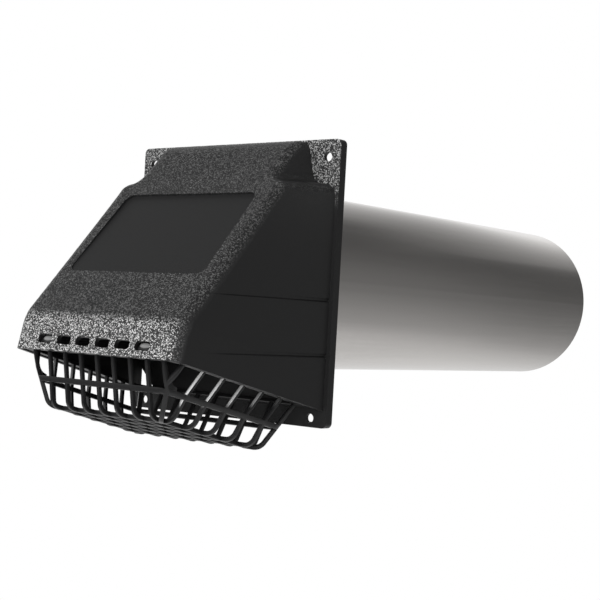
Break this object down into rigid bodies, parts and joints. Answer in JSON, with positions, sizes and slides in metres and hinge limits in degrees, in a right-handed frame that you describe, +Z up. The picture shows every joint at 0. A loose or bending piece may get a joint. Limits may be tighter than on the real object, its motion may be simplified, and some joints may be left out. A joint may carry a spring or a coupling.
{
  "type": "dryer vent cap",
  "caption": "Wall vent hood with a sloping front, a snap-in bird guard basket under its mouth, a back-draught flap and a straight duct pipe behind.",
  "frame": {"origin": "where the axis of the duct pipe crosses the face of the wall", "axes": "+Y along the pipe into the wall, +Z up, +X to the right as seen facing the wall from outside"},
  "size_m": [0.1424, 0.4225, 0.1622],
  "materials": {
    "hood_plastic": "fine grained outside, smooth side walls",
    "back_plate_plastic": "smooth matte",
    "flap_plastic": "smooth matte",
    "guard_plastic": "smooth satin",
    "duct_metal": "bare satin sheet"
  },
  "bodies": {
    "housing": {"hood": "hood_plastic", "back_plate": "back_plate_plastic", "duct_pipe": "duct_metal"},
    "damper": {"damper_flap": "flap_plastic"},
    "guard": {"bird_guard": "guard_plastic"}
  },
  "joints": [
    {"name": "damper_swing", "type": "hinge", "parent": "housing", "child": "damper", "pos_m": [0, -0.0056, 0.058], "axis": [-1, 0, 0], "range_deg": [0, 45]},
    {"name": "guard_removal", "type": "slide", "parent": "housing", "child": "guard", "axis": [0, -0.2334, -0.9724], "range_m": [0, 0.035]}
  ]
}
